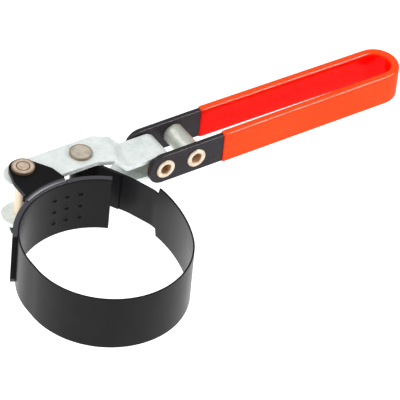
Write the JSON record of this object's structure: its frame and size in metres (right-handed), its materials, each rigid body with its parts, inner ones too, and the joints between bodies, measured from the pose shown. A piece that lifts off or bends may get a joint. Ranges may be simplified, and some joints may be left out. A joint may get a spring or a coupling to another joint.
{
  "type": "oil filter wrench",
  "caption": "Band-type oil filter wrench: steel band loop tightened by a folded swing lever, with a swivelling U-shaped handle in a dipped vinyl grip.",
  "frame": {"origin": "centre of the band's front clamping arc, on the filter's axis, half way up the band", "axes": "+Z along the filter's axis, +X from the band towards the handle's bow, +Y from the band towards the lever"},
  "size_m": [0.2829, 0.1288, 0.04],
  "materials": {
    "band_steel": "gloss black oxide",
    "bracket_steel": "gloss black",
    "anchor_rivet_plating": "yellow-tinted zinc, satin",
    "zinc_lever": "bright zinc plate, satin",
    "pull_rivet_plating": "zinc plate, satin",
    "tubular_rivet_plating": "pale brass plate, polished rims",
    "spacer_steel": "tumbled zinc",
    "handle_steel": "satin black",
    "red_vinyl": "glossy dipped vinyl"
  },
  "bodies": {
    "bracket": {"anchor_bracket": "bracket_steel", "band_fixed_end": "band_steel", "anchor_rivet": "anchor_rivet_plating"},
    "band_front": {"band_loop": "band_steel"},
    "band_tail": {"band_pull_end": "band_steel"},
    "lever": {"swing_lever": "zinc_lever", "pull_rivet": "pull_rivet_plating"},
    "handle": {"handle_strip": "handle_steel", "vinyl_grip": "red_vinyl", "pivot_rivet": "tubular_rivet_plating", "spacer_rivet": "tubular_rivet_plating", "spacer_tube": "spacer_steel"}
  },
  "joints": [
    {"name": "lever_swing", "type": "hinge", "parent": "bracket", "child": "lever", "pos_m": [-0.0108, 0.0733, 0], "axis": [0, 0, 1], "range_deg": [-6, 20]},
    {"name": "handle_swivel", "type": "hinge", "parent": "lever", "child": "handle", "pos_m": [0.0715, 0.0676, 0], "axis": [0, 1, 0], "range_deg": [-100, 100]},
    {"name": "band_flex_left", "type": "hinge", "parent": "bracket", "child": "band_front", "pos_m": [-0.0453, -0.00799, 0], "axis": [0, 0, 1], "range_deg": [-3, 10]},
    {"name": "band_flex_right", "type": "hinge", "parent": "band_front", "child": "band_tail", "pos_m": [0.03524, -0.02957, 0], "axis": [0, 0, 1], "range_deg": [-7.5, 2.5]}
  ],
  "couplings": [
    {"joint": "band_flex_left", "follows": "lever_swing", "ratio": 0.459},
    {"joint": "band_flex_right", "follows": "lever_swing", "ratio": -0.3516}
  ]
}
